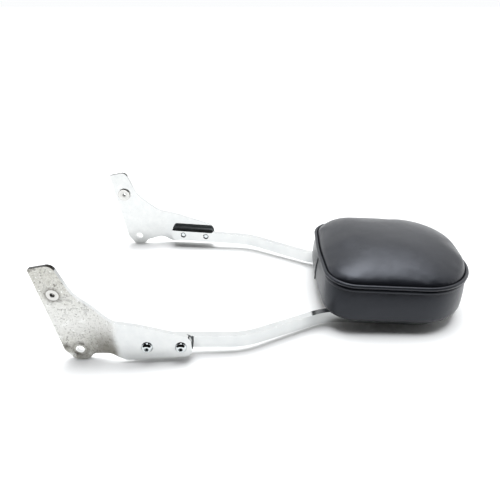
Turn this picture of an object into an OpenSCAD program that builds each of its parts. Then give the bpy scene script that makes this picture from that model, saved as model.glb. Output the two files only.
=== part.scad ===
// Motorcycle sissy bar: two bolted side plates, a bent flat-bar hoop and a backrest pad.
// It lies on the floor on its lower lobes and the hoop's far end, with the pad on top.
// All pieces are set out in the hoop's own frame (x along the hoop, z from its back to its pad),
// whose zero is under the lower mounting holes, and then tipped to rest on the floor.

/* [Side plates] */
// Thickness of the side plates
plate_t = 5; // [3:0.5:8]
// Distance between the outer faces of the two mounting lugs
mount_w = 300.6; // [280:0.1:340]
// Height of the mounting lug at its rear corner
lug_h = 127.8; // [118:0.2:150]
// Width of the mounting lug at its top edge
lug_w = 27.5; // [25:0.5:32]
// Radius of the lower lobe, round the lower mounting hole
lobe_r = 16.5; // [14:0.5:18]
// Height of the upper mounting hole above the lower one
hole_rise = 78.4; // [72:0.2:84]
// How far the upper mounting hole lies behind the lower one
hole_back = 19.1; // [17:0.1:21]
// Diameter of the lower mounting holes
lower_hole_d = 10.5; // [6:0.1:14]
// How far an arm steps outwards at its joggle
joggle = 6; // [2:0.5:10]
// Start of the joggle, from the lower mounting hole
joggle_x = 21.5; // [19:0.5:25]
// Length of the joggle
joggle_l = 25; // [21:0.5:29]
// Angle between an arm and the centre plane
arm_angle = 3.3; // [1:0.1:5]
// Height of an arm at its free end
arm_end_h = 28.4; // [26:0.2:34]
// Distance from the front arm screw to the arm's free end
arm_margin = 13; // [11:0.2:18]

/* [Bushes] */
// Diameter of a bush where it passes through the plate
bush_d = 14.5; // [11:0.1:17]
// Diameter of a bush's inner flange
bush_flange_d = 20; // [19:0.5:24]
// Thickness of a bush's inner flange
bush_flange_t = 3; // [1:0.5:6]
// Bore of a bush
bush_bore_d = 5.5; // [4:0.1:9]

/* [Arm screws and spacers] */
// Distance from the lower mounting hole to the middle of the arm screws
arm_reach = 102.2; // [96:0.2:112]
// Thread diameter of the arm screws
screw_d = 8; // [5:0.5:8]
// Distance between the two screws of an arm
screw_pitch = 40; // [34:1:46]
// Head diameter of the arm screws
screw_head_d = 14; // [12:0.5:16]
// Head height of the arm screws
screw_head_h = 4.4; // [3.6:0.1:5]
// Width across the flats of the hexagon socket
socket_w = 5; // [4:0.5:6]
// How far the arm screws lie above the middle of the bar
screw_lift = 1.5; // [0:0.1:2]
// Thickness of the spacer blocks
spacer_t = 7; // [3:0.5:12]
// Height of the spacer blocks
spacer_h = 23; // [21:0.5:30]
// Radius of a spacer block's rounded end
spacer_end_r = 8; // [2:0.5:9.5]
// How far a spacer block shows past the arm's free end
spacer_show = 0.8; // [0:0.1:5]

/* [Hoop] */
// Height of the flat bar, from its back edge to its pad edge
bar_h = 17.5; // [15:0.5:20]
// Thickness of the flat bar
bar_t = 8.5; // [6:0.5:10]
// Height of the bar's middle above the lowest point of the lobes
bar_mid = 25.8; // [24:0.2:30]
// Length of bar behind the middle of the arm screws
bar_tail = 40; // [36:0.2:44]
// Radius of the lower corner at each end of the bar
bar_end_r = 6; // [2:0.5:8]
// Distance from the middle of the arm screws to the first bend
first_bend = 96.4; // [88:0.2:106]
// Angle between a leg and the centre plane after its first bend
leg_angle = 27.8; // [26:0.1:31]
// Radius of the two bends of a leg, on the centre line
leg_bend_r = 85; // [50:1:90]
// Width of the hoop behind the pad, over its outer faces
hoop_w = 158; // [150:1:164]
// Distance from the middle of the arm screws to the hoop's far end
hoop_reach = 368.4; // [360:0.2:385]
// Radius of the hoop's far corners, on the centre line
hoop_corner_r = 42; // [25:1:46]

/* [Pad mounting] */
// Thickness of the cross straps
strap_t = 4; // [2:0.5:6]
// Width of the cross straps
strap_w = 25; // [18:1:28]
// Distance between the two cross straps
strap_pitch = 58; // [48:1:60]
// Distance between the two pad screws of a strap
pad_screw_pitch = 84; // [60:1:100]
// Thread diameter of the pad screws
pad_screw_d = 6; // [4:0.5:6.5]
// Thickness of the pad screws' washers
washer_t = 1.6; // [1:0.1:2.5]
// Diameter of the tee nuts' flanges
tee_flange_d = 19; // [16:0.5:24]

/* [Pad] */
// Length of the pad at its piping
pad_l = 199; // [190:1:208]
// Width of the pad at its piping
pad_w = 177; // [172:1:190]
// How far the pad reaches past the hoop's far end
pad_over = 27.2; // [20:0.2:32]
// Height of the side band, from the hoop to the piping
band_h = 48; // [36:1:56]
// Height of the crown above the piping
crown_h = 28; // [16:1:36]
// How far each side of the band widens towards the hoop
side_flare = 10; // [4:0.5:12]
// How far each end of the band widens towards the hoop
end_flare = 2; // [0:0.5:6]
// How far the pad's end towards the arms bows out
near_bow = 5; // [1:0.5:8]
// Radius of the pad's corners towards the arms
near_corner_r = 36; // [32:1:45]
// Radius of the pad's corners at its far end
far_corner_r = 74; // [55:1:80]
// Radius of the piping
piping_r = 2.6; // [1.5:0.1:3.5]
// Thickness of the cover
cover_t = 1.4; // [1:0.1:2]
// Width of the cover's hem under the board
hem_w = 24; // [22:1:27]
// Thickness of the base board
board_t = 9; // [6:0.5:12]

/* [Hidden] */
fine = 64;
eps = 1;
thread_gap = 0.1;
shank_gap = 0.4;
soft_gap = 0.1;

// The bar's edges and the row of arm screws
bar_top = bar_mid + bar_h / 2;
bar_back = bar_mid - bar_h / 2;
screw_z = bar_mid + screw_lift;
arm_end = arm_reach + screw_pitch / 2 + arm_margin;
joggle_end = joggle_x + joggle_l;
hoop_end = arm_reach + hoop_reach;

// The outline of a side plate, as rows of x, z and the radius of the corner
lug_lean = 0.193;
lug_top_angle = 13.5;
lug_foot = [-lobe_r - 2.5, lobe_r - 1.8];
lug_rear = lug_foot + (lug_h - lug_foot.y) * [-lug_lean, 1];
lug_front = lug_rear + lug_w * [cos(lug_top_angle), sin(lug_top_angle)];
upper_hole = [-hole_back, lobe_r + hole_rise];
arm_low = screw_z - 13.8;
plate_rows = [
    [lug_rear.x, lug_rear.y, 1.2],
    [lug_front.x, lug_front.y, 9],
    [upper_hole.x + 21, upper_hole.y + 0.4, 40],
    [joggle_end - 7.1, screw_z + 37.3, 30],
    [joggle_end + 26.5, screw_z + 31.3, 60],
    [arm_end - 0.9, arm_low + arm_end_h, 12],
    [arm_end, arm_low, 8],
    [joggle_end + 10.5, arm_low - 6.3, 12],
    [joggle_end - 6.9, arm_low + 2.7, 14],
    [lobe_r, lobe_r - 6.3, 4],
    each [for (a = [-30 : -5 : -130]) [lobe_r * cos(a), lobe_r + lobe_r * sin(a), 0]],
    [lug_foot.x, lug_foot.y, 5]
];

// The line of an arm's outer face, seen from above
joggle_r = 18;
arm_y0 = mount_w / 2 + joggle;
face_rows = [
    [-lug_h, mount_w / 2, 0],
    [joggle_x, mount_w / 2, joggle_r],
    [joggle_end, arm_y0, joggle_r + plate_t],
    [arm_end + lug_h, arm_y(arm_end + lug_h), 0]
];
function arm_y(x) = arm_y0 - tan(arm_angle) * (x - joggle_end);

// The hoop's centre line, from one end of the bar round to the other
stack_t = plate_t + spacer_t;
arm_along = [cos(arm_angle), -sin(arm_angle)];
arm_in = -[sin(arm_angle), cos(arm_angle)];
hoop_side_y = hoop_w / 2 - bar_t / 2;
stack_mid = [arm_reach, arm_y(arm_reach)] + arm_in * (stack_t + bar_t / 2);
bar_start = stack_mid - arm_along * bar_tail;
bend_1 = stack_mid + arm_along * first_bend;
bend_2 = bend_1 + (bend_1.y - hoop_side_y) * [1 / tan(leg_angle), -1];
far_x = hoop_end - bar_t / 2;
hoop_line = [
    [bar_start.x, -bar_start.y, 0],
    [bend_1.x, -bend_1.y, leg_bend_r],
    [bend_2.x, -hoop_side_y, leg_bend_r],
    [far_x, -hoop_side_y, hoop_corner_r],
    [far_x, hoop_side_y, hoop_corner_r],
    [bend_2.x, hoop_side_y, leg_bend_r],
    [bend_1.x, bend_1.y, leg_bend_r],
    [bar_start.x, bar_start.y, 0]
];
hoop_outside = rounded(moved(hoop_line, bar_t / 2), 3, false);
hoop_inside = rounded(moved(hoop_line, -bar_t / 2), 3, false);

// The straps are flush with the bar's edge, and the board stands above them by the hem
strap_under = bar_top - strap_t;
board_under = bar_top + cover_t;
board_top = board_under + board_t;
strap_mid = hoop_end - bar_t - hoop_corner_r - (strap_pitch + strap_w) / 2;
strap_xs = [strap_mid - strap_pitch / 2, strap_mid + strap_pitch / 2];
washer_d = 2.6 * pad_screw_d;
hex_head_w = 1.67 * pad_screw_d;
hex_head_h = 0.67 * pad_screw_d;
tee_barrel_d = pad_screw_d + 2.4;
tee_flange_t = 1.5;
tee_barrel_l = board_t - 1;

// The pad's outline at its piping
pad_mid = hoop_end + pad_over - pad_l / 2;
pad_rows = [
    [near_bow - pad_l / 2, -pad_w / 2, near_corner_r],
    [pad_l / 2, -pad_w / 2, far_corner_r],
    [pad_l / 2, pad_w / 2, far_corner_r],
    [near_bow - pad_l / 2, pad_w / 2, near_corner_r],
    [-pad_l / 2, 0, pad_w]
];
pad_line = rounded(pad_rows, 8);
piping_z = bar_top + band_h;
crown_z = piping_z + piping_r;
crown_power = 2.5;
crown_steps = 9;
piping_steps = 8;

// The tilt at which the lobes and the hoop's far end both touch the floor
end_run = [hoop_end, bar_back - lobe_r];
tilt = atan2(end_run.y, end_run.x) + asin(lobe_r / norm(end_run));
floor_rise = lobe_r - lobe_r * cos(tilt);
rear_end = min([for (p = rounded(plate_rows, 6)) p.x * cos(tilt) + p.y * sin(tilt)]);
front_end = (hoop_end + pad_over + 2 * piping_r - cover_t) * cos(tilt) + piping_z * sin(tilt);
mid_x = (rear_end + front_end) / 2;

function unit(v) = v / norm(v);
function flat(p) = [p.x, p.y];
function back(line) = [for (i = [len(line) - 1 : -1 : 0]) line[i]];
function short_turn(a) = a > 180 ? a - 360 : a < -180 ? a + 360 : a;

// The round between two lines that meet at b: its centre, start angle and turn
function bend(a, b, c, r) =
    let (
        u = unit(a - b),
        v = unit(c - b),
        half = acos(u * v) / 2,
        mid = b + unit(u + v) * r / sin(half),
        p = b + u * r / tan(half) - mid,
        q = b + v * r / tan(half) - mid,
        start = atan2(p.y, p.x)
    )
    [mid, start, short_turn(atan2(q.y, q.x) - start)];

// Points of an outline with rounded corners, from rows of x, y and radius
function rounded(rows, step, closed = true) = [
    for (i = [0 : len(rows) - 1])
        let (
            n = len(rows),
            b = flat(rows[i]),
            r = rows[i][2],
            turn = r > 0 ? bend(flat(rows[(i + n - 1) % n]), b, flat(rows[(i + 1) % n]), r) : [b, 0, 0],
            steps = ceil(abs(turn[2]) / step)
        )
        for (k = [0 : steps])
            r > 0 ? turn[0] + r * angled(turn[1] + turn[2] * k / steps) : b
];
function angled(a) = [cos(a), sin(a)];

// Rows of a line moved by d to the right of its direction, with their radii to match
function moved(rows, d) = [
    for (i = [0 : len(rows) - 1])
        let (
            b = flat(rows[i]),
            ahead = i < len(rows) - 1 ? unit(flat(rows[i + 1]) - b) : unit(b - flat(rows[i - 1])),
            behind = i > 0 ? unit(b - flat(rows[i - 1])) : ahead,
            m = [behind.y, -behind.x],
            n = [ahead.y, -ahead.x],
            c = b + d * (m + n) / (1 + m * n),
            left_turn = behind.x * ahead.y > behind.y * ahead.x
        )
        [c.x, c.y, rows[i][2] > 0 ? rows[i][2] + (left_turn ? d : -d) : 0]
];

// A closed outline drawn in by d
function inset(line, d) = [
    for (i = [0 : len(line) - 1])
        let (
            n = len(line),
            along = unit(line[(i + 1) % n] - line[(i + n - 1) % n])
        )
        line[i] + d * [-along.y, along.x]
];

function ring(line, z) = [for (p = line) [p.x + pad_mid, p.y, z]];
function scaled(line, kx, ky) = [for (p = line) [p.x * kx, p.y * ky]];

// The band's outline at a height, drawn in by d
function band_ring(z, d) =
    let (share = (piping_z - z) / band_h)
    ring(inset(scaled(pad_line, 1 + 2 * end_flare * share / pad_l, 1 + 2 * side_flare * share / pad_w), d), z);

// The crown's outlines from its foot to near its top, lying d under its surface
function crown_rings(d) = [
    for (k = [0 : crown_steps])
        let (
            a = 86 * k / crown_steps,
            share = pow(cos(a), 2 / crown_power),
            rise = pow(sin(a), 2 / crown_power)
        )
        ring(scaled(inset(pad_line, d), share, share), crown_z + (crown_h - piping_r - d) * rise)
];

// A solid from a stack of rings, from the lowest to the highest
module stacked(rings) {
    n = len(rings[0]);
    last = len(rings) - 1;
    polyhedron(
        points = [for (r = rings) each r],
        faces = concat(
            [[for (i = [0 : n - 1]) i]],
            [for (k = [0 : last - 1], i = [0 : n - 1])
                let (j = (i + 1) % n)
                each [
                    [k * n + i, (k + 1) * n + i, (k + 1) * n + j],
                    [k * n + i, (k + 1) * n + j, k * n + j]
                ]],
            [[for (i = [n - 1 : -1 : 0]) last * n + i]]
        )
    );
}

// A closed band from rings that run round its section, clockwise seen along the outline
module looped(rings) {
    n = len(rings[0]);
    m = len(rings);
    polyhedron(
        points = [for (r = rings) each r],
        faces = [for (k = [0 : m - 1], i = [0 : n - 1])
            let (j = (i + 1) % n, k2 = (k + 1) % m)
            each [
                [k * n + i, k2 * n + i, k2 * n + j],
                [k * n + i, k2 * n + j, k * n + j]
            ]]
    );
}

// Tips a piece to its rest on the floor and centres the object
module rest() {
    translate([-mid_x, 0, floor_rise])
        rotate([0, tilt, 0])
            children();
}

module left_of() {
    mirror([0, 1, 0])
        children();
}

// Places a piece on the right arm, x along it from the middle of its screws and y out of its face
module along_arm() {
    translate([arm_reach, arm_y(arm_reach), 0])
        rotate([0, 0, -arm_angle])
            children();
}

// Turns a piece so that its z axis points out of the right side, at a place x, z on it
module facing_out(x, z) {
    translate([x, 0, z])
        rotate([-90, 0, 0])
            children();
}

// A cutter from a little above its own zero to a depth below it
module drill(d, depth) {
    translate([0, 0, -depth - eps])
        cylinder(d = d, h = depth + 2 * eps, $fn = fine);
}

module at_arm_screws() {
    along_arm()
        for (x = [-screw_pitch / 2, screw_pitch / 2])
            facing_out(x, screw_z)
                children();
}

module at_pad_screws() {
    for (x = strap_xs)
        for (y = [-pad_screw_pitch / 2, pad_screw_pitch / 2])
            translate([x, y, 0])
                children();
}

module side_plate() {
    color("gainsboro")
    difference() {
        intersection() {
            translate([0, 0, -lug_h / 2])
                linear_extrude(2 * lug_h)
                    polygon(concat(rounded(face_rows, 3), back(rounded(moved(face_rows, plate_t), 3))));
            translate([0, mount_w, 0])
                rotate([90, 0, 0])
                    linear_extrude(mount_w)
                        polygon(rounded(plate_rows, 6));
        }
        translate([0, mount_w / 2, 0]) {
            facing_out(0, lobe_r)
                drill(lower_hole_d, plate_t);
            facing_out(upper_hole.x, upper_hole.y)
                drill(bush_d, plate_t);
        }
        at_arm_screws()
            drill(screw_d + shank_gap, plate_t);
    }
}

module bush() {
    color("silver")
    translate([0, mount_w / 2, 0])
        facing_out(upper_hole.x, upper_hole.y)
            difference() {
                union() {
                    translate([0, 0, -plate_t - bush_flange_t])
                        cylinder(d = bush_flange_d, h = bush_flange_t, $fn = fine);
                    translate([0, 0, -plate_t])
                        cylinder(d = bush_d, h = plate_t, $fn = fine);
                }
                drill(bush_bore_d, plate_t + bush_flange_t);
            }
}

module spacer() {
    foot = bar_mid - spacer_h / 2;
    head = bar_mid + spacer_h / 2;
    tip = arm_tip + spacer_show;
    color("dimgray")
    difference() {
        along_arm()
            translate([0, -plate_t, 0])
                rotate([90, 0, 0])
                    linear_extrude(spacer_t)
                        polygon(rounded([
                            [-bar_tail, foot, 1],
                            [tip, foot, spacer_end_r],
                            [tip, head, spacer_end_r],
                            [-bar_tail, head, 1]
                        ], 6));
        at_arm_screws()
            drill(screw_d + shank_gap, stack_t);
    }
}
arm_tip = (arm_end - arm_reach) / cos(arm_angle);

module arm_screw(side) {
    land = 0.55;
    tip_gap = 1;
    length = stack_t + bar_t - tip_gap;
    dome = [for (k = [0 : 6]) [
        screw_head_d / 2 * (1 - (1 - land) * k / 6),
        screw_head_h * (0.25 + 0.75 * sin(90 * k / 6))
    ]];
    color("silver")
    along_arm()
        facing_out(side * screw_pitch / 2, screw_z)
            difference() {
                rotate_extrude($fn = fine)
                    polygon(concat(
                        [[0, -length], [screw_d / 2 - 1, -length], [screw_d / 2, 1 - length]],
                        [[screw_d / 2, 0], [screw_head_d / 2, 0]],
                        dome,
                        [[0, screw_head_h]]
                    ));
                translate([0, 0, screw_head_h / 3])
                    cylinder(d = socket_w / cos(30), h = screw_head_h, $fn = 6);
            }
}

module tapped_hole() {
    sink = 1;
    drill(screw_d + 2 * thread_gap, stack_t + bar_t);
    translate([0, 0, -stack_t - bar_t - eps])
        cylinder(d1 = screw_d + 2 * (sink + eps), d2 = screw_d, h = sink + eps, $fn = fine);
}

// A cutter that rounds the lower corner at the bar's end
module end_round() {
    end_clear = 1.01;
    translate([-bar_tail, eps - stack_t, bar_back])
        rotate([90, 0, 0])
            linear_extrude(bar_t + 2 * eps)
                polygon(concat(
                    [[-eps, bar_end_r], [-eps, -eps], [bar_end_r, -eps]],
                    [for (a = [-90 : -6 : -180]) bar_end_r * ([1, 1] + end_clear * angled(a))]
                ));
}

module hoop() {
    color("lightsteelblue")
    difference() {
        translate([0, 0, bar_back])
            linear_extrude(bar_h)
                polygon(concat(hoop_outside, back(hoop_inside)));
        at_arm_screws()
            tapped_hole();
        along_arm()
            end_round();
        left_of() {
            at_arm_screws()
                tapped_hole();
            along_arm()
                end_round();
        }
    }
}

module cross_strap(x) {
    color("slategray")
    difference() {
        translate([0, 0, strap_under])
            linear_extrude(strap_t)
                intersection() {
                    polygon(hoop_inside);
                    translate([x - strap_w / 2, -hoop_w / 2])
                        square([strap_w, hoop_w]);
                }
        translate([0, 0, bar_top])
            at_pad_screws()
                drill(pad_screw_d + shank_gap, strap_t);
    }
}

module pad_screws() {
    length = board_top - strap_under + washer_t - 1;
    color("gray")
    translate([0, 0, strap_under - washer_t])
        at_pad_screws() {
            cylinder(d = pad_screw_d, h = length, $fn = fine);
            translate([0, 0, -hex_head_h])
                cylinder(d = hex_head_w / cos(30), h = hex_head_h, $fn = 6);
        }
}

module pad_screw_washers() {
    color("silver")
    translate([0, 0, strap_under])
        at_pad_screws()
            difference() {
                translate([0, 0, -washer_t])
                    cylinder(d = washer_d, h = washer_t, $fn = fine);
                drill(pad_screw_d + shank_gap, washer_t);
            }
}

module pad_tee_nuts() {
    color("goldenrod")
    translate([0, 0, board_top])
        at_pad_screws()
            difference() {
                union() {
                    translate([0, 0, -tee_flange_t])
                        cylinder(d = tee_flange_d, h = tee_flange_t, $fn = fine);
                    translate([0, 0, -tee_barrel_l])
                        cylinder(d = tee_barrel_d, h = tee_barrel_l, $fn = fine);
                }
                drill(pad_screw_d + 2 * thread_gap, board_t);
            }
}

module pad_base_board() {
    color("burlywood")
    difference() {
        translate([0, 0, board_under])
            linear_extrude(board_t)
                polygon([for (p = band_ring(board_top, cover_t + soft_gap)) [p.x, p.y]]);
        translate([0, 0, board_top])
            at_pad_screws() {
                drill(tee_barrel_d, board_t);
                translate([0, 0, -tee_flange_t])
                    cylinder(d = tee_flange_d, h = tee_flange_t + eps, $fn = fine);
            }
    }
}

module pad_foam() {
    lining = cover_t + soft_gap;
    color("khaki")
    stacked(concat(
        [band_ring(board_top, lining), ring(inset(pad_line, lining), piping_z - piping_r)],
        crown_rings(lining)
    ));
}

module pad_top_panel() {
    color("dimgray")
    difference() {
        stacked(crown_rings(0));
        stacked(concat(
            [ring(inset(pad_line, cover_t), crown_z - eps)],
            crown_rings(cover_t)
        ));
    }
}

module pad_side_band() {
    color("dimgray")
    difference() {
        looped([
            band_ring(bar_top, 0),
            band_ring(piping_z - piping_r, 0),
            band_ring(piping_z - piping_r, cover_t),
            band_ring(board_under, cover_t),
            ring(inset(flat_of(band_ring(bar_top, 0)), hem_w), board_under),
            ring(inset(flat_of(band_ring(bar_top, 0)), hem_w), bar_top)
        ]);
        // a wide hem on a short pad is pierced by the screws
        translate([0, 0, board_under])
            at_pad_screws()
                drill(pad_screw_d + shank_gap, cover_t);
    }
}
function flat_of(line) = [for (p = line) [p.x - pad_mid, p.y]];

module pad_piping() {
    out = piping_r - cover_t;
    color("black")
    looped(concat(
        [ring(inset(pad_line, cover_t), piping_z - piping_r)],
        [for (k = [0 : piping_steps])
            let (a = 180 * k / piping_steps - 90)
            ring(inset(pad_line, -out - piping_r * cos(a)), piping_z + piping_r * sin(a))],
        [ring(inset(pad_line, cover_t), piping_z + piping_r)]
    ));
}

rest() left_of() side_plate();  // left_side_plate
rest() side_plate();  // right_side_plate
rest() left_of() bush();  // left_bush
rest() bush();  // right_bush
rest() left_of() spacer();  // left_spacer
rest() spacer();  // right_spacer
rest() left_of() arm_screw(-1);  // left_rear_arm_screw
rest() left_of() arm_screw(1);  // left_front_arm_screw
rest() arm_screw(-1);  // right_rear_arm_screw
rest() arm_screw(1);  // right_front_arm_screw
rest() hoop();
rest() cross_strap(strap_xs[0]);  // near_cross_strap
rest() cross_strap(strap_xs[1]);  // far_cross_strap
rest() pad_screws();
rest() pad_screw_washers();
rest() pad_tee_nuts();
rest() pad_base_board();
rest() pad_foam();
rest() pad_top_panel();
rest() pad_side_band();
rest() pad_piping();
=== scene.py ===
# Motorcycle sissy bar: chrome side plates and hoop with a black leatherette backrest pad.
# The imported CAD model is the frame, and every new piece is in metres in the same place.
import math

import bpy
import bmesh
from mathutils import Matrix, Vector


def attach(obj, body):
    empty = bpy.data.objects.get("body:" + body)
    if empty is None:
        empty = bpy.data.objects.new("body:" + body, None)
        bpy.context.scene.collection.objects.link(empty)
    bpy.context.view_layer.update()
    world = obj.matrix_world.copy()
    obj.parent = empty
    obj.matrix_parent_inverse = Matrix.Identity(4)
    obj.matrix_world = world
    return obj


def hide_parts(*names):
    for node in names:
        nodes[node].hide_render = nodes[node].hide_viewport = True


scene = bpy.context.scene
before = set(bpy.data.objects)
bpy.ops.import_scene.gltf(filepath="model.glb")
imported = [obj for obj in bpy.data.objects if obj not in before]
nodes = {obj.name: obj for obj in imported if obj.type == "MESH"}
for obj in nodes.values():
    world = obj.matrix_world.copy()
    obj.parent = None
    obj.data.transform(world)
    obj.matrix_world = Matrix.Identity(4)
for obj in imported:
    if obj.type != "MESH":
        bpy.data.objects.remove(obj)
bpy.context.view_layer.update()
mm = 0.001


def linearColour(hexText, alpha=1.0):
    # sRGB hex to the linear values that the shader reads
    parts = [int(hexText[i:i + 2], 16) / 255 for i in (1, 3, 5)]
    return tuple(c / 12.92 if c <= 0.04045 else ((c + 0.055) / 1.055) ** 2.4 for c in parts) + (alpha,)


def addNode(tree, kind, inputs=None, stops=None, **settings):
    # one node with its settings; an input is a value or a socket, and stops are a ramp's places and colours
    node = tree.nodes.new(kind)
    for name, value in settings.items():
        setattr(node, name, value)
    for name, value in (inputs or {}).items():
        if isinstance(value, bpy.types.NodeSocket):
            tree.links.new(value, node.inputs[name])
        else:
            node.inputs[name].default_value = value
    for number, (place, colour) in enumerate(stops or []):
        elements = node.color_ramp.elements
        stop = elements[number] if number < 2 else elements.new(place)
        stop.position = place
        stop.color = linearColour(colour) if isinstance(colour, str) else (colour, colour, colour, 1)
    return node


def newMaterial(name):
    material = bpy.data.materials.new(name)
    material.use_nodes = True
    tree = material.node_tree
    tree.nodes.clear()
    shader = addNode(tree, "ShaderNodeBsdfPrincipled")
    addNode(tree, "ShaderNodeOutputMaterial", {"Surface": shader.outputs["BSDF"]})
    place = addNode(tree, "ShaderNodeTexCoord").outputs["Object"]
    return material, tree, shader, place


# The bar, pad and plates are set out along the hoop, which is tipped to rest on the floor
lay = {"tilt": 2.07626, "rise": 0.0108, "middle": 234.127}
hoopToFloor = (
    Matrix.Translation((-lay["middle"] * mm, 0, lay["rise"] * mm))
    @ Matrix.Rotation(math.radians(lay["tilt"]), 4, "Y")
)


def finishMesh(bm, name, material, smooth):
    # turns a bmesh into a piece that rides with the object; edges past the smooth angle stay sharp
    mesh = bpy.data.meshes.new(name)
    bm.to_mesh(mesh)
    bm.free()
    mesh.materials.append(material)
    mesh.shade_smooth()
    mesh.set_sharp_from_angle(angle=math.radians(smooth))
    piece = bpy.data.objects.new(name, mesh)
    scene.collection.objects.link(piece)
    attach(piece, "root")
    return piece


# Chrome plate over steel: a bright mirror with a faint cool tint and a fine haze of polishing
def makeChrome():
    material, tree, shader, place = newMaterial("chromePlate")
    haze = addNode(tree, "ShaderNodeTexNoise", {"Vector": place, "Scale": 38.0, "Detail": 4.0})
    tint = addNode(tree, "ShaderNodeValToRGB", {"Fac": haze.outputs["Fac"]},
                   stops=[(0.3, "#c9cbcb"), (0.7, "#d3d4d3")])
    gloss = addNode(tree, "ShaderNodeMapRange", {"Value": haze.outputs["Fac"], "To Min": 0.05, "To Max": 0.13})
    # polishing lines, drawn coarser than the real ones so that they show
    brush = addNode(tree, "ShaderNodeTexNoise", {"Vector": place, "Scale": 420.0, "Detail": 3.0})
    bump = addNode(tree, "ShaderNodeBump", {"Height": brush.outputs["Fac"], "Strength": 0.05, "Distance": 0.0004})
    tree.links.new(tint.outputs["Color"], shader.inputs["Base Color"])
    tree.links.new(gloss.outputs[0], shader.inputs["Roughness"])
    tree.links.new(bump.outputs["Normal"], shader.inputs["Normal"])
    shader.inputs["Metallic"].default_value = 1.0
    return material


# The same chrome, dulled by weather on the outer side of the mounting lugs: a grey and yellowish
# film with pits, dirt round the holes, and the bare dark steel of the lug's top edge
# Noise scales are per metre: pits about 1.1 mm apart, specks 2 mm and mottling 11 mm. The real pits
# and specks are finer, and are drawn coarser so that they show.
# The paintedShade keys place the painted shade at the foot of the joggle. They give the height where it is full and
# the height where it has faded, where along the plate it starts and where it is strongest, and its greatest strength.
weather = {
    "pit": 900.0, "speck": 470.0, "mottle": 95.0, "cloud": 30.0, "ragged": 0.006,
    "filmFrom": -0.198, "filmTo": -0.186, "innerSide": 0.1, "bareFrom": 0.099, "bareTo": 0.119,
    "paintedShadeLow": 0.014, "paintedShadeHigh": 0.064, "paintedShadeRear": -0.232, "paintedShadeFront": -0.198, "paintedShadeMost": 0.85,
}
boreAt = (-0.24978, 0.09554)
# dirt on the lug's outer side: where it lies, its least and greatest reach and how thick it is between
marks = {
    "lowerRing": {"at": (-0.23353, 0.0165), "from": 0.0070, "to": 0.0165,
                  "stops": [(0.0, 0.1), (0.18, 0.42), (0.42, 0.14), (0.8, 0.0)]},
    "footSpot": {"at": (-0.2497, 0.0205), "from": 0.0, "to": 0.0075, "stops": [(0.0, 0.8), (0.45, 0.5), (1.0, 0.0)]},
    "rimSpot": {"at": (-0.2376, 0.0098), "from": 0.0, "to": 0.0050, "stops": [(0.0, 0.8), (0.4, 0.5), (1.0, 0.0)]},
    "bushRing": {"at": boreAt, "from": 0.0072, "to": 0.0140, "stops": [(0.0, 0.65), (0.25, 0.35), (0.75, 0.0)]},
}


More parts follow.
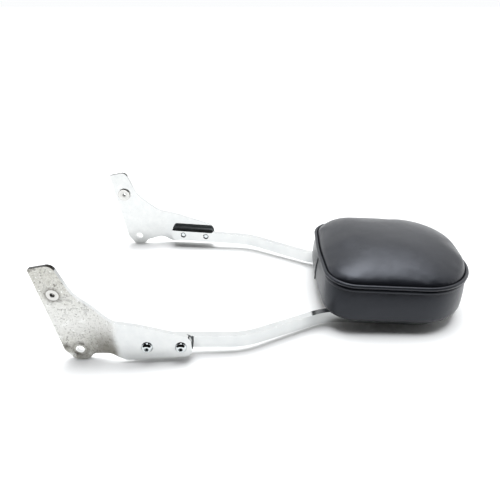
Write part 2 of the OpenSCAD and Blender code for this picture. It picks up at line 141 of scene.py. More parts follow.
def makeWeatheredChrome():
    material, tree, shader, place = newMaterial("weatheredChromePlate")
    parts = addNode(tree, "ShaderNodeSeparateXYZ", {"Vector": place})
    haze = addNode(tree, "ShaderNodeTexNoise", {"Vector": place, "Scale": weather["mottle"], "Detail": 9.0,
                                               "Roughness": 0.7})
    cloud = addNode(tree, "ShaderNodeTexNoise", {"Vector": place, "Scale": weather["cloud"], "Detail": 4.0})
    pits = addNode(tree, "ShaderNodeTexNoise", {"Vector": place, "Scale": weather["pit"], "Detail": 4.0,
                                               "Roughness": 0.6})
    specks = addNode(tree, "ShaderNodeTexNoise", {"Vector": place, "Scale": weather["speck"], "Detail": 6.0,
                                                 "Roughness": 0.75})
    # the film ends at the joggle, and lies on the outer side only
    waver = addNode(tree, "ShaderNodeMath", {0: cloud.outputs["Fac"], 1: 0.012}, operation="MULTIPLY")
    along = addNode(tree, "ShaderNodeMath", {0: parts.outputs["X"], 1: waver.outputs[0]}, operation="SUBTRACT")
    near = addNode(tree, "ShaderNodeMapRange", {
        "Value": along.outputs[0], "From Min": weather["filmFrom"], "From Max": weather["filmTo"],
        "To Min": 1.0, "To Max": 0.0}, interpolation_type="SMOOTHSTEP")
    facing = addNode(tree, "ShaderNodeSeparateXYZ", {
        "Vector": addNode(tree, "ShaderNodeNewGeometry").outputs["Normal"]})
    away = addNode(tree, "ShaderNodeMath", {0: parts.outputs["Y"], 1: facing.outputs["Y"]}, operation="MULTIPLY")
    outer = addNode(tree, "ShaderNodeMapRange", {"Value": away.outputs[0], "From Min": 0.04, "From Max": 0.12,
                                                "To Min": weather["innerSide"], "To Max": 1.0})
    film = addNode(tree, "ShaderNodeMath", {0: near.outputs[0], 1: outer.outputs[0]}, operation="MULTIPLY")
    bright = addNode(tree, "ShaderNodeValToRGB", {"Fac": haze.outputs["Fac"]},
                     stops=[(0.3, "#c9cbcb"), (0.7, "#d3d4d3")])
    filmColour = addNode(tree, "ShaderNodeValToRGB", {"Fac": haze.outputs["Fac"]}, stops=[
        (0.38, "#75726a"), (0.46, "#c9c8c2"), (0.53, "#aaa89f"), (0.61, "#dededb")])
    # lighter in the middle of the lug's height, darker at its top and foot
    midHeightPale = addNode(tree, "ShaderNodeValToRGB", {
        "Fac": addNode(tree, "ShaderNodeMapRange", {"Value": parts.outputs["Z"], "From Min": 0.0,
                                                    "From Max": 0.12}).outputs[0]},
        stops=[(0.14, 0.05), (0.42, 0.7), (0.62, 0.62), (0.92, 0.12)])
    filmColour = addNode(tree, "ShaderNodeMix", {0: midHeightPale.outputs["Color"], 6: filmColour.outputs["Color"],
                                                7: linearColour("#e0e0de")}, data_type="RGBA")
    pitFleck = addNode(tree, "ShaderNodeValToRGB", {"Fac": specks.outputs["Fac"]}, stops=[(0.37, 0.8), (0.44, 0.0)])
    flecked = addNode(tree, "ShaderNodeMix", {0: pitFleck.outputs["Color"], 6: filmColour.outputs[2],
                                             7: linearColour("#514d46")}, data_type="RGBA")
    # painted shade: darker towards the foot of the joggle, standing in for the dark that the bent chrome reflects
    # there
    low = addNode(tree, "ShaderNodeMapRange", {
        "Value": parts.outputs["Z"], "From Min": weather["paintedShadeLow"], "From Max": weather["paintedShadeHigh"],
        "To Min": 1.0, "To Max": 0.0}, interpolation_type="SMOOTHSTEP")
    front = addNode(tree, "ShaderNodeMapRange", {
        "Value": parts.outputs["X"], "From Min": weather["paintedShadeRear"], "From Max": weather["paintedShadeFront"],
        "To Min": 0.0, "To Max": weather["paintedShadeMost"]}, interpolation_type="SMOOTHSTEP")
    shade = addNode(tree, "ShaderNodeMath", {0: low.outputs[0], 1: front.outputs[0]}, operation="MULTIPLY")
    paintedShadeMix = addNode(tree, "ShaderNodeMix", {0: shade.outputs[0], 6: flecked.outputs[2],
                                           7: linearColour("#76736b")}, data_type="RGBA")
    base = addNode(tree, "ShaderNodeMix", {0: film.outputs[0], 6: bright.outputs["Color"], 7: paintedShadeMix.outputs[2]},
                   data_type="RGBA")
    colour = base.outputs[2]
    flatPlace = addNode(tree, "ShaderNodeCombineXYZ", {"X": parts.outputs["X"], "Z": parts.outputs["Z"]})
    for mark in marks.values():
        reach = addNode(tree, "ShaderNodeVectorMath", {
            0: flatPlace.outputs[0], 1: (mark["at"][0], 0, mark["at"][1])}, operation="DISTANCE")
        ragged = addNode(tree, "ShaderNodeMath", {
            0: specks.outputs["Fac"], 1: weather["ragged"], 2: reach.outputs["Value"]}, operation="MULTIPLY_ADD")
        span = addNode(tree, "ShaderNodeMapRange", {
            "Value": ragged.outputs[0], "From Min": mark["from"] + weather["ragged"] / 2,
            "From Max": mark["to"] + weather["ragged"] / 2})
        ring = addNode(tree, "ShaderNodeValToRGB", {"Fac": span.outputs[0]}, stops=mark["stops"])
        thick = addNode(tree, "ShaderNodeMath", {0: ring.outputs["Color"], 1: outer.outputs[0]}, operation="MULTIPLY")
        grime = addNode(tree, "ShaderNodeMix", {0: thick.outputs[0], 6: colour, 7: linearColour("#3f3a31")},
                        data_type="RGBA")
        colour = grime.outputs[2]
    # the lug's top edge, bare of its chrome
    upward = addNode(tree, "ShaderNodeMapRange", {"Value": facing.outputs["Z"], "From Min": 0.25, "From Max": 0.5})
    high = addNode(tree, "ShaderNodeMapRange", {
        "Value": parts.outputs["Z"], "From Min": weather["bareFrom"], "From Max": weather["bareTo"]})
    bare = addNode(tree, "ShaderNodeMath", {0: upward.outputs[0], 1: high.outputs[0]}, operation="MULTIPLY")
    edged = addNode(tree, "ShaderNodeMix", {0: bare.outputs[0], 6: colour, 7: linearColour("#262320")},
                    data_type="RGBA")
    tree.links.new(edged.outputs[2], shader.inputs["Base Color"])
    gloss = addNode(tree, "ShaderNodeMapRange", {"Value": film.outputs[0], "To Min": 0.07, "To Max": 0.45})
    tree.links.new(gloss.outputs[0], shader.inputs["Roughness"])
    depth = addNode(tree, "ShaderNodeMapRange", {"Value": film.outputs[0], "To Min": 0.03, "To Max": 0.55})
    bump = addNode(tree, "ShaderNodeBump", {"Height": pits.outputs["Fac"], "Strength": depth.outputs[0],
                                           "Distance": 0.0006})
    tree.links.new(bump.outputs["Normal"], shader.inputs["Normal"])
    shader.inputs["Metallic"].default_value = 1.0
    return material


# Plated and turned steel of the small parts: fine marks soften the mirror
def makePlainMetal(name, darkHex, lightHex, roughness, grain):
    material, tree, shader, place = newMaterial(name)
    noise = addNode(tree, "ShaderNodeTexNoise", {"Vector": place, "Scale": grain, "Detail": 5.0})
    shade = addNode(tree, "ShaderNodeValToRGB", {"Fac": noise.outputs["Fac"]},
                    stops=[(0.3, darkHex), (0.7, lightHex)])
    gloss = addNode(tree, "ShaderNodeMapRange", {
        "Value": noise.outputs["Fac"], "To Min": roughness * 0.7, "To Max": roughness * 1.3})
    bump = addNode(tree, "ShaderNodeBump", {"Height": noise.outputs["Fac"], "Strength": 0.08, "Distance": 0.0003})
    tree.links.new(shade.outputs["Color"], shader.inputs["Base Color"])
    tree.links.new(gloss.outputs[0], shader.inputs["Roughness"])
    tree.links.new(bump.outputs["Normal"], shader.inputs["Normal"])
    shader.inputs["Metallic"].default_value = 1.0
    return material


# Turned bush: bright end face, with painted shade in its bore
bushFinish = {"platePlane": 0.1478, "wander": 0.0012, "towardsMouth": 50.0, "from": 0.0024, "to": 0.0125}


def makeTurnedBush():
    material, tree, shader, place = newMaterial("turnedBushSteel")
    parts = addNode(tree, "ShaderNodeSeparateXYZ", {"Vector": place})
    flatPlace = addNode(tree, "ShaderNodeCombineXYZ", {"X": parts.outputs["X"], "Z": parts.outputs["Z"]})
    reach = addNode(tree, "ShaderNodeVectorMath", {
        0: flatPlace.outputs[0], 1: (boreAt[0], 0, boreAt[1])}, operation="DISTANCE")
    noise = addNode(tree, "ShaderNodeTexNoise", {"Vector": place, "Scale": 700.0, "Detail": 4.0})
    ragged = addNode(tree, "ShaderNodeMath", {
        0: noise.outputs["Fac"], 1: bushFinish["wander"], 2: reach.outputs["Value"]}, operation="MULTIPLY_ADD")
    # the painted shade is darkest in the middle of the bore's length, level with the plate, and lighter towards its
    # mouths
    away = addNode(tree, "ShaderNodeMath", {0: parts.outputs["Y"]}, operation="ABSOLUTE")
    beside = addNode(tree, "ShaderNodeMath", {0: away.outputs[0], 1: bushFinish["platePlane"]}, operation="SUBTRACT")
    square = addNode(tree, "ShaderNodeMath", {0: beside.outputs[0], 1: 2.0}, operation="POWER")
    depth = addNode(tree, "ShaderNodeMath", {
        0: square.outputs[0], 1: bushFinish["towardsMouth"], 2: ragged.outputs[0]}, operation="MULTIPLY_ADD")
    # the two darkest stops are the painted shade in the bore, the others the end face's own tone
    colour = addNode(tree, "ShaderNodeValToRGB", {
        "Fac": addNode(tree, "ShaderNodeMapRange", {"Value": depth.outputs[0], "From Min": bushFinish["from"],
                                                    "From Max": bushFinish["to"]}).outputs[0]},
        stops=[(0.0, "#0b0a08"), (0.1, "#15130f"), (0.155, "#c6c5c1"), (0.85, "#dad9d6"), (1.0, "#b5b2ab")])
    tree.links.new(colour.outputs["Color"], shader.inputs["Base Color"])
    bump = addNode(tree, "ShaderNodeBump", {"Height": noise.outputs["Fac"], "Strength": 0.15, "Distance": 0.0003})
    tree.links.new(bump.outputs["Normal"], shader.inputs["Normal"])
    shader.inputs["Metallic"].default_value = 0.85
    shader.inputs["Roughness"].default_value = 0.34
    return material


# Moulded black block: dead matt with a faint tool texture
def makeBlackBlock():
    material, tree, shader, place = newMaterial("mouldedBlackPlastic")
    noise = addNode(tree, "ShaderNodeTexNoise", {"Vector": place, "Scale": 500.0, "Detail": 4.0})
    colour = addNode(tree, "ShaderNodeValToRGB", {"Fac": noise.outputs["Fac"]},
                     stops=[(0.3, "#26292a"), (0.7, "#424647")])
    tree.links.new(colour.outputs["Color"], shader.inputs["Base Color"])
    bump = addNode(tree, "ShaderNodeBump", {"Height": noise.outputs["Fac"], "Strength": 0.2, "Distance": 0.0003})
    tree.links.new(bump.outputs["Normal"], shader.inputs["Normal"])
    shader.inputs["Roughness"].default_value = 0.62
    return material


# Leatherette: PVC skin on a knit, pressed with a hide grain, satin with a cool sheen
leather = {"grain": 1.6, "colour": "#121317", "worn": "#1a1b20"}


def makeLeatherette(name, grainDepth):
    material, tree, shader, place = newMaterial(name)
    # the real grain is about 0.6 mm; it is drawn coarser so that it shows in the render
    cells = addNode(tree, "ShaderNodeTexVoronoi", {"Vector": place, "Scale": 1 / (leather["grain"] * mm)},
                    feature="DISTANCE_TO_EDGE")
    creases = addNode(tree, "ShaderNodeValToRGB", {"Fac": cells.outputs["Distance"]}, stops=[(0.0, 0.0), (0.18, 1.0)])
    wear = addNode(tree, "ShaderNodeTexNoise", {"Vector": place, "Scale": 22.0, "Detail": 5.0})
    folds = addNode(tree, "ShaderNodeTexNoise", {"Vector": place, "Scale": 30.0, "Detail": 2.0})
    colour = addNode(tree, "ShaderNodeValToRGB", {"Fac": wear.outputs["Fac"]},
                     stops=[(0.35, leather["colour"]), (0.7, leather["worn"])])
    gloss = addNode(tree, "ShaderNodeMapRange", {"Value": wear.outputs["Fac"], "To Min": 0.24, "To Max": 0.35})
    soft = addNode(tree, "ShaderNodeBump", {"Height": folds.outputs["Fac"], "Strength": 0.1, "Distance": 0.006})
    fine = addNode(tree, "ShaderNodeBump", {"Height": creases.outputs["Color"], "Strength": grainDepth,
                                           "Distance": 0.0003, "Normal": soft.outputs["Normal"]})
    tree.links.new(colour.outputs["Color"], shader.inputs["Base Color"])
    tree.links.new(gloss.outputs[0], shader.inputs["Roughness"])
    tree.links.new(fine.outputs["Normal"], shader.inputs["Normal"])
    shader.inputs["Specular IOR Level"].default_value = 0.4
    shader.inputs["Specular Tint"].default_value = linearColour("#eff4ff")
    return material


# Bonded nylon thread: black with a slight shine
def makePlainThread():
    material, tree, shader, place = newMaterial("bondedNylonThread")
    twist = addNode(tree, "ShaderNodeTexNoise", {"Vector": place, "Scale": 2500.0, "Detail": 2.0})
    colour = addNode(tree, "ShaderNodeValToRGB", {"Fac": twist.outputs["Fac"]},
                     stops=[(0.35, "#0b0b0c"), (0.65, "#1c1c1e")])
    bump = addNode(tree, "ShaderNodeBump", {"Height": twist.outputs["Fac"], "Strength": 0.3, "Distance": 0.0002})
    tree.links.new(colour.outputs["Color"], shader.inputs["Base Color"])
    tree.links.new(bump.outputs["Normal"], shader.inputs["Normal"])
    shader.inputs["Roughness"].default_value = 0.4
    return material


# Bare plywood, darkened by age under the pad: a matt face veneer with long grain
def makePlywood():
    material, tree, shader, place = newMaterial("barePlywood")
    turned = addNode(tree, "ShaderNodeMapping", {"Vector": place, "Scale": (9.0, 130.0, 130.0)})
    grain = addNode(tree, "ShaderNodeTexNoise", {"Vector": turned.outputs["Vector"], "Scale": 1.0, "Detail": 7.0,
                                                "Distortion": 0.6})
    colour = addNode(tree, "ShaderNodeValToRGB", {"Fac": grain.outputs["Fac"]},
                     stops=[(0.3, "#4a3a2b"), (0.65, "#6f5b45")])
    tree.links.new(colour.outputs["Color"], shader.inputs["Base Color"])
    shader.inputs["Roughness"].default_value = 0.7
    return material


chrome = makeChrome()
weatheredChrome = makeWeatheredChrome()
screwChrome = makePlainMetal("chromedScrewSteel", "#c4c9ca", "#d2d6d7", 0.06, 300.0)
bushSteel = makeTurnedBush()
strapSteel = makePlainMetal("platedStrapSteel", "#7f8182", "#a9abab", 0.35, 160.0)
zincPlate = makePlainMetal("zincPlatedSteel", "#96948a", "#c6c4ba", 0.38, 350.0)
blackBlock = makeBlackBlock()
leatherette = makeLeatherette("grainedLeatherette", 0.2)
pipingLeatherette = makeLeatherette("pipingLeatherette", 0.2)
plywood = makePlywood()
threadBlack = makePlainThread()
print("materials made")


def edgedCopy(nodeName, pieceName, material, width):
    # a merged copy of a rigid CAD node with its sharp edges eased
    bm = bmesh.new()
    bm.from_mesh(nodes[nodeName].data)
    bmesh.ops.remove_doubles(bm, verts=bm.verts, dist=2e-6)
    bmesh.ops.dissolve_limit(bm, angle_limit=math.radians(0.6), verts=bm.verts, edges=bm.edges)
    sharp = [e for e in bm.edges if e.is_manifold and e.calc_face_angle(0) > math.radians(40)]
    bmesh.ops.bevel(bm, geom=sharp, offset=width * mm, offset_type="OFFSET", segments=3, profile=0.5,
                    affect="EDGES", clamp_overlap=True, material=-1)
    piece = finishMesh(bm, pieceName, material, smooth=38)
    normals = piece.modifiers.new("evenShading", "WEIGHTED_NORMAL")
    normals.keep_sharp = True
    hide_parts(nodeName)
    return piece


edges = {"plate": 0.7, "hoop": 1.1, "spacer": 0.8, "screw": 0.25, "bush": 0.35}
for side in ("left", "right"):
    edgedCopy(f"{side}_side_plate", f"{side}SidePlate", weatheredChrome, edges["plate"])
    edgedCopy(f"{side}_spacer", f"{side}SpacerBlock", blackBlock, edges["spacer"])
    edgedCopy(f"{side}_bush", f"{side}MountBush", bushSteel, edges["bush"])
    for end in ("rear", "front"):
        edgedCopy(f"{side}_{end}_arm_screw", f"{side}{end.title()}ButtonScrew", screwChrome,
                  edges["screw"])
edgedCopy("hoop", "flatBarHoop", chrome, edges["hoop"])
for nodeName, material in (("near_cross_strap", strapSteel), ("far_cross_strap", strapSteel),
                           ("pad_screws", zincPlate), ("pad_screw_washers", zincPlate),
                           ("pad_tee_nuts", zincPlate), ("pad_base_board", plywood)):
    nodes[nodeName].data.materials.clear()
    nodes[nodeName].data.materials.append(material)
print("metal pieces edged")

# The backrest pad, in the hoop's frame: millimetres, x along the hoop, z from the bar's pad edge
pad = {
    "middle": 398.3, "seat": 34.55, "length": 199.0, "width": 177.0, "bow": 5.0,
    "nearCorner": 36.0, "farCorner": 74.0, "nearBow": 14.0, "seam": 48.0, "bandFrom": 0.9, "crown": 29.0, "power": 3.1,
    "crownFoot": 1.5, "lip": 6.0, "lipShare": 0.035, "domeShare": 0.965, "sideFlare": 10.0, "endFlare": 2.0,
    "tuck": 2.5, "swell": 1.6, "piping": 2.6, "pipingOut": 1.2,
}
padToFloor = hoopToFloor @ Matrix.Translation((pad["middle"] * mm, 0, pad["seat"] * mm)) @ Matrix.Scale(mm, 4)


def padOutline(bm, segments=12):
    # the pad's outline at its piping, as one flat face
    halfL = pad["length"] / 2
    halfW = pad["width"] / 2
    spots = [(pad["bow"] - halfL, -halfW), (halfL, -halfW), (halfL, halfW), (pad["bow"] - halfL, halfW), (-halfL, 0)]
    face = bm.faces.new([bm.verts.new((x, y, 0)) for x, y in spots])
    for spot, radius in ((spots[1], pad["farCorner"]), (spots[2], pad["farCorner"]),
                         (spots[0], pad["nearCorner"] * 0.95), (spots[3], pad["nearCorner"] * 0.95),
                         (spots[4], pad["nearBow"])):
        corner = min(bm.verts, key=lambda v: (v.co.xy - Vector(spot)).length)
        bmesh.ops.bevel(bm, geom=[corner], offset=radius, offset_type="OFFSET", segments=segments, profile=0.5,
                        affect="VERTICES", clamp_overlap=False, material=-1)
    bm.faces.ensure_lookup_table()
    return bm.faces[0]


def padStep(bm, face, lastSize, size, height):
    # draws the top face up to the next outline; a size is how far it reaches beyond the piping's outline
    grown = bmesh.ops.extrude_face_region(bm, geom=[face])["geom"]
    top = [g for g in grown if isinstance(g, bmesh.types.BMFace)][0]
    halves = (pad["length"] / 2, pad["width"] / 2)
    ratio = [(h + n) / (h + o) for h, n, o in zip(halves, size, lastSize)]
    bmesh.ops.scale(bm, vec=(ratio[0], ratio[1], 1), verts=top.verts)
    bmesh.ops.translate(bm, vec=(0, 0, height), verts=top.verts)
    bmesh.ops.delete(bm, geom=[face], context="FACES_ONLY")
    return top


def flare(height):
    share = 1 - height / pad["seam"]
    return (pad["endFlare"] * share, pad["sideFlare"] * share)


def padBody():
    # the stuffed pad as one closed form, from the hoop up to its crown
    bm = bmesh.new()
    face = padOutline(bm)
    face.normal_update()
    if face.normal.z < 0:
        face.normal_flip()
    halves = (pad["length"] / 2, pad["width"] / 2)
    size = (pad["endFlare"] - pad["tuck"], pad["sideFlare"] - pad["tuck"])
    bmesh.ops.duplicate(bm, geom=[face])
    levels = [(0.0, size)]
    for height in (1.2, 4.0, 12.0, 24.0, 36.0, 43.0):
        inward = pad["tuck"] * max(0.0, 1 - height / 4.0) ** 2
        swell = pad["swell"] * math.sin(math.pi * height / pad["seam"])
        levels.append((height, tuple(f - inward + swell for f in flare(height))))
    levels.append((pad["seam"] - 1.5, (-1.0, -1.0)))
    levels.append((pad["seam"] + 1.0, (-1.6, -1.6)))
    rise = pad["crown"] - pad["piping"]
    for step in range(1, 12):
        angle = math.radians(86 * step / 11)
        share = math.cos(angle) ** (2 / pad["power"])
        lift = rise * math.sin(angle) ** (2 / pad["power"])
        levels.append((pad["seam"] + pad["crownFoot"] + lift, tuple((share - 1) * h - 1.2 * share for h in halves)))
    bmesh.ops.scale(bm, vec=((halves[0] + size[0]) / halves[0], (halves[1] + size[1]) / halves[1], 1), verts=bm.verts)
    lastHeight = 0.0
    for height, nextSize in levels[1:]:
        face = padStep(bm, face, size, nextSize, height - lastHeight)
        size, lastHeight = nextSize, height
    bmesh.ops.remove_doubles(bm, verts=bm.verts, dist=0.001)
    bmesh.ops.recalc_face_normals(bm, faces=bm.faces)
    # one side and the near end are worn to a flatter crown over a short steep lip
    for vertex in bm.verts:
        lift = vertex.co.z - pad["seam"] - pad["crownFoot"]
        if lift > 0:
            reach = max(0.0, 1 - min(1.0, lift / rise) ** pad["power"]) ** (1 / pad["power"])
            worn = pad["lip"] * min(1.0, max(0.0, 1 - reach) / pad["lipShare"]) ** 0.5
            worn += (rise - pad["lip"]) * (1 - min(1.0, reach / pad["domeShare"]) ** 2)
            share = min(1.0, max(0.0, (15 - vertex.co.y) / 60, 0.7 * min(1.0, (-35 - vertex.co.x) / 50)))
            share *= 1 - 0.6 * min(1.0, max(0.0, (vertex.co.x - 55) / 45))
            vertex.co.z += (worn - lift) * share * share * (3 - 2 * share)
    return bm


puff = {
    "voxel": 0.0033, "pressure": 4.0, "frames": 20, "cap": 0.002, "settle": 8,
    "boardHold": 4.0, "seamHold": 3.2, "boardStill": 6.0, "seamStill": 4.5,
}


def puffUp(piece):
    # the foam's push on the cover: Cloth with pressure, held at the seam and under the board
    remesh = piece.modifiers.new("evenMesh", "REMESH")
    remesh.mode = "VOXEL"
    remesh.voxel_size = puff["voxel"]
    depsgraph = bpy.context.evaluated_depsgraph_get()
    even = bpy.data.meshes.new_from_object(piece.evaluated_get(depsgraph))
    piece.modifiers.clear()
    even.materials.clear()
    even.materials.append(piece.data.materials[0])
    piece.data = even
    start = [v.co.copy() for v in even.vertices]
    toPad = padToFloor.inverted()
    held = piece.vertex_groups.new(name="sewn")
    for vertex in even.vertices:
        height = (toPad @ vertex.co).z
        if height < puff["boardHold"] or abs(height - pad["seam"]) < puff["seamHold"]:
            held.add([vertex.index], 1.0, "REPLACE")
    cloth = piece.modifiers.new("stuffing", "CLOTH")
    cloth.settings.vertex_group_mass = "sewn"
    cloth.settings.use_pressure = True
    cloth.settings.uniform_pressure_force = puff["pressure"]
    cloth.settings.effector_weights.gravity = 0.0
    cloth.point_cache.frame_start = 1
    cloth.point_cache.frame_end = puff["frames"]
    for number in range(1, puff["frames"] + 1):
        scene.frame_set(number)
    depsgraph = bpy.context.evaluated_depsgraph_get()
    puffed = bpy.data.meshes.new_from_object(piece.evaluated_get(depsgraph))
    for old, vertex in zip(start, puffed.vertices):
        move = vertex.co - old
        if move.length > puff["cap"]:
            vertex.co = old + move * (puff["cap"] / move.length)
    settled = bmesh.new()
    settled.from_mesh(puffed)
    heights = [(v, (toPad @ v.co).z) for v in settled.verts]
    free = [v for v, height in heights
            if height > puff["boardStill"] and abs(height - pad["seam"]) > puff["seamStill"]]
    for turn in range(puff["settle"]):
        bmesh.ops.smooth_vert(settled, verts=free, factor=0.5, use_axis_x=True, use_axis_y=True, use_axis_z=True)
    settled.to_mesh(puffed)
    settled.free()
    piece.modifiers.clear()
    piece.vertex_groups.clear()
    puffed.materials.clear()
    puffed.materials.append(even.materials[0])
    piece.data = puffed
    scene.frame_set(1)


stuffed = padBody()
bmesh.ops.transform(stuffed, matrix=padToFloor, verts=stuffed.verts)
bodyPiece = finishMesh(stuffed, "padBody", leatherette, smooth=180)
puffUp(bodyPiece)
print("pad stuffed")


def cutBody(name, low, high):
    # a skin of the stuffed body between two heights above the hoop
    bm = bmesh.new()
    bm.from_mesh(bodyPiece.data)
    bmesh.ops.transform(bm, matrix=padToFloor.inverted(), verts=bm.verts)
    for height, up in ((low, False), (high, True)):
        if height is not None:
            everything = bm.verts[:] + bm.edges[:] + bm.faces[:]
            bmesh.ops.bisect_plane(bm, geom=everything, dist=1e-4, plane_co=(0, 0, height),
                                   plane_no=(0, 0, 1), clear_outer=up, clear_inner=not up)
    bmesh.ops.transform(bm, matrix=padToFloor, verts=bm.verts)
    piece = finishMesh(bm, name, leatherette, smooth=180)
    rounding = piece.modifiers.new("rounding", "SUBSURF")
    rounding.levels = 1
    rounding.render_levels = 1
    return piece


topPanel = cutBody("padTopPanel", pad["seam"], None)
sideBand = cutBody("padSideBand", pad["bandFrom"], pad["seam"])
bpy.data.objects.remove(bodyPiece)
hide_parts("pad_top_panel")
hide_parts("pad_foam")
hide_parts("pad_side_band")

# The hem, folded under the board
hem = {"inside": 2.2, "width": 22.0, "thick": 1.3, "offBar": 0.05}


def padCoverHem():
    bm = bmesh.new()
    face = padOutline(bm)
    halves = (pad["length"] / 2, pad["width"] / 2)
    bmesh.ops.scale(bm, vec=((halves[0] + pad["endFlare"] - hem["inside"]) / halves[0],
                             (halves[1] + pad["sideFlare"] - hem["inside"]) / halves[1], 1), verts=bm.verts)
    bmesh.ops.inset_region(bm, faces=[face], thickness=hem["width"], use_boundary=True, use_even_offset=True)
    bmesh.ops.delete(bm, geom=[face], context="FACES_ONLY")
    bmesh.ops.recalc_face_normals(bm, faces=bm.faces)
    bmesh.ops.solidify(bm, geom=bm.faces[:], thickness=hem["thick"])
    bmesh.ops.translate(bm, vec=(0, 0, hem["offBar"] - min(v.co.z for v in bm.verts)), verts=bm.verts)
    bmesh.ops.recalc_face_normals(bm, faces=bm.faces)
    bmesh.ops.transform(bm, matrix=padToFloor, verts=bm.verts)
    finishMesh(bm, "padCoverHem", leatherette, smooth=40)


padCoverHem()


def padLine(reachOut, height):
    # the piping's outline grown outwards, as an ordered list of points in the pad's frame
    bm = bmesh.new()
    face = padOutline(bm, segments=16)
    points = [v.co.copy() for v in face.verts]
    bm.free()
    count = len(points)
    area = sum(points[i].x * points[(i + 1) % count].y - points[(i + 1) % count].x * points[i].y
               for i in range(count))
    if area < 0:
        points.reverse()
    line = []
    for i, point in enumerate(points):
        along = (points[(i + 1) % count] - points[i - 1]).normalized()
        line.append(point + Vector((along.y, -along.x, 0)) * reachOut + Vector((0, 0, height)))
    return line


def sweptCord(name, line, radius, closed=True):
    # a round cord along a line, made a mesh
    curve = bpy.data.curves.new(name, "CURVE")
    curve.dimensions = "3D"
    curve.bevel_depth = radius
    curve.bevel_resolution = 4
    spline = curve.splines.new("POLY")
    spline.points.add(len(line) - 1)
    for point, spot in zip(spline.points, line):
        place = padToFloor @ spot
        point.co = (place.x, place.y, place.z, 1)
    spline.use_cyclic_u = closed
    curve.use_fill_caps = not closed
    holder = bpy.data.objects.new(name, curve)
    scene.collection.objects.link(holder)
    mesh = bpy.data.meshes.new_from_object(holder.evaluated_get(bpy.context.evaluated_depsgraph_get()))
    bpy.data.objects.remove(holder)
    bm = bmesh.new()
    bm.from_mesh(mesh)
    bmesh.ops.remove_doubles(bm, verts=bm.verts, dist=1e-6)
    bmesh.ops.recalc_face_normals(bm, faces=bm.faces)
    return finishMesh(bm, name, pipingLeatherette, smooth=180)


piping = sweptCord("padPiping", padLine(pad["pipingOut"], pad["seam"]), pad["piping"] * mm)
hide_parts("pad_piping")

# Below the piping its tape is sewn to the band. The tape's edges are given as the depth below the
# piping and how far each stands out from the band.
tape = {
    "edges": [(7.2, -1.2), (7.2, 0.9), (6.0, 1.4), (3.0, 1.1), (2.0, -0.6), (3.0, -1.2)],
    "seamBelow": 8.1, "seamProud": 0.25, "pitch": 4.2, "halfStitch": 1.512, "thread": 0.42,
}
# The band's two ends meet at the near end, a little to one side of its middle
join = {"aside": -7.0, "from": 5.2, "step": 1.7, "steps": 24, "proud": 0.3, "ridge": 0.8}


def bandLine(below, proud):
    # a line round the band, a depth below the piping
    high = pad["seam"] - below
    wide = flare(high)
    swell = pad["swell"] * math.sin(math.pi * high / pad["seam"])
    return [Vector((p.x * (1 + (wide[0] + swell + proud) * 2 / pad["length"]),
                    p.y * (1 + (wide[1] + swell + proud) * 2 / pad["width"]), p.z))
            for p in padLine(0.0, high)]


def joinLine():
    # down the near end of the band
    line = []
    for step in range(join["steps"]):
        row = [p for p in bandLine(join["from"] + step * join["step"], join["proud"]) if p.x < 0]
        spot = min(row, key=lambda p: abs(p.y - join["aside"]))
        line.append(Vector((spot.x, join["aside"], spot.z)))
    return line


def pipingTape():
    # a closed band, bridged from one edge to the next
    bm = bmesh.new()
    loops = []
    for row in [bandLine(below, proud) for below, proud in tape["edges"]]:
        verts = [bm.verts.new(padToFloor @ spot) for spot in row]
        loops.append([bm.edges.new((verts[i - 1], verts[i])) for i in range(len(verts))])
    for lower, upper in zip(loops, loops[1:] + loops[:1]):
        bmesh.ops.bridge_loops(bm, edges=lower + upper)
    bmesh.ops.recalc_face_normals(bm, faces=bm.faces)
    finishMesh(bm, "padPipingTape", pipingLeatherette, smooth=50)


def seamStitches():
    # one bead of thread for each stitch, along the tape's lower edge
    bm = bmesh.new()
    line = bandLine(tape["seamBelow"], tape["seamProud"])
    size = Matrix.Diagonal((tape["halfStitch"], tape["thread"], tape["thread"], 1))
    travelled = 0.0
    for spot, following in zip(line, line[1:] + line[:1]):
        step = following - spot
        while travelled < step.length:
            turn = step.to_track_quat("X", "Z").to_matrix().to_4x4()
            place = padToFloor @ Matrix.Translation(spot + step.normalized() * travelled) @ turn
            bmesh.ops.create_icosphere(bm, subdivisions=1, radius=1, matrix=place @ size)
            travelled += tape["pitch"]
        travelled -= step.length
    finishMesh(bm, "padSeamStitches", threadBlack, smooth=80)


pipingTape()
seamStitches()
sweptCord("padBandJoin", joinLine(), join["ridge"] * mm, closed=False)
print("pad sewn")

# Studio: a plain white floor, far wider than the view
floorBm = bmesh.new()
bmesh.ops.create_grid(floorBm, x_segments=1, y_segments=1, size=150)
floorMesh = bpy.data.meshes.new("studioFloor")
floorBm.to_mesh(floorMesh)
floorBm.free()
studioFloor = bpy.data.objects.new("studioFloor", floorMesh)
scene.collection.objects.link(studioFloor)
paper, _, paperShader, _ = newMaterial("whitePaper")
paperShader.inputs["Base Color"].default_value = linearColour("#f2f2f1")
paperShader.inputs["Roughness"].default_value = 0.95
paperShader.inputs["Specular IOR Level"].default_value = 0.1
floorMesh.materials.append(paper)

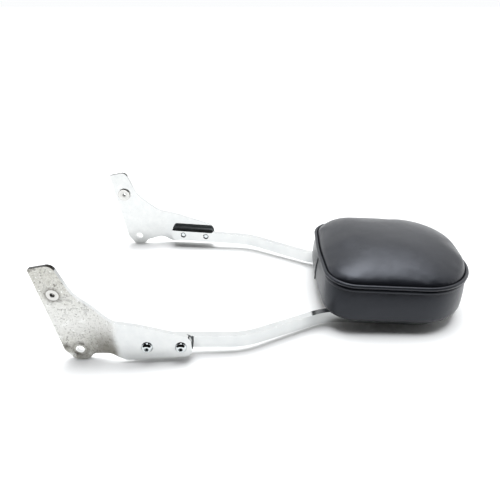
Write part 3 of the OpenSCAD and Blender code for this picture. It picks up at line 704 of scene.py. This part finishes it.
# The room: bright behind the object and dark on the camera's side, but plain white to look at
room = {"dark": 0.008, "white": 1.4}
world = bpy.data.worlds.new("studioRoom")
scene.world = world
world.use_nodes = True
worldTree = world.node_tree
worldTree.nodes.clear()
direction = addNode(worldTree, "ShaderNodeSeparateXYZ", {
    "Vector": addNode(worldTree, "ShaderNodeTexCoord").outputs["Generated"]})
behind = addNode(worldTree, "ShaderNodeMapRange", {"Value": direction.outputs["Y"], "From Min": -0.2, "From Max": 0.0,
                                                  "To Min": room["dark"], "To Max": room["white"]})
seen = addNode(worldTree, "ShaderNodeMix", {
    0: addNode(worldTree, "ShaderNodeLightPath").outputs["Is Camera Ray"], 2: behind.outputs[0], 3: 1.0})
background = addNode(worldTree, "ShaderNodeBackground", {"Color": linearColour("#fcfdfe"),
                                                        "Strength": seen.outputs[0]})
addNode(worldTree, "ShaderNodeOutputWorld", {"Surface": background.outputs[0]})

# One wide soft light, tipped a little so that it comes from behind
lamp = {"tip": -10, "side": 3, "spread": 44, "strength": 3.5, "colour": "#f6f8fb"}
lampData = bpy.data.lights.new("softOverheadWindow", "SUN")
lampData.angle = math.radians(lamp["spread"])
lampData.energy = lamp["strength"]
lampData.color = linearColour(lamp["colour"])[:3]
lampHolder = bpy.data.objects.new("softOverheadWindow", lampData)
lampHolder.rotation_euler = (math.radians(lamp["tip"]), math.radians(lamp["side"]), 0)
scene.collection.objects.link(lampHolder)

# Camera at the photograph's place, fitted to mirrored points of the two sides
view = {"at": (-0.0212, -0.5387, 0.3765), "turn": (60.45, 0.0, 1.106), "lens": 30.96, "sensor": 36.0}
cameraData = bpy.data.cameras.new("photoCamera")
cameraData.lens = view["lens"]
cameraData.sensor_width = view["sensor"]
cameraData.sensor_fit = "HORIZONTAL"
camera = bpy.data.objects.new("photoCamera", cameraData)
camera.location = view["at"]
camera.rotation_euler = [math.radians(a) for a in view["turn"]]
scene.collection.objects.link(camera)
scene.camera = camera
scene.view_settings.view_transform = "Standard"
print("studio lit")
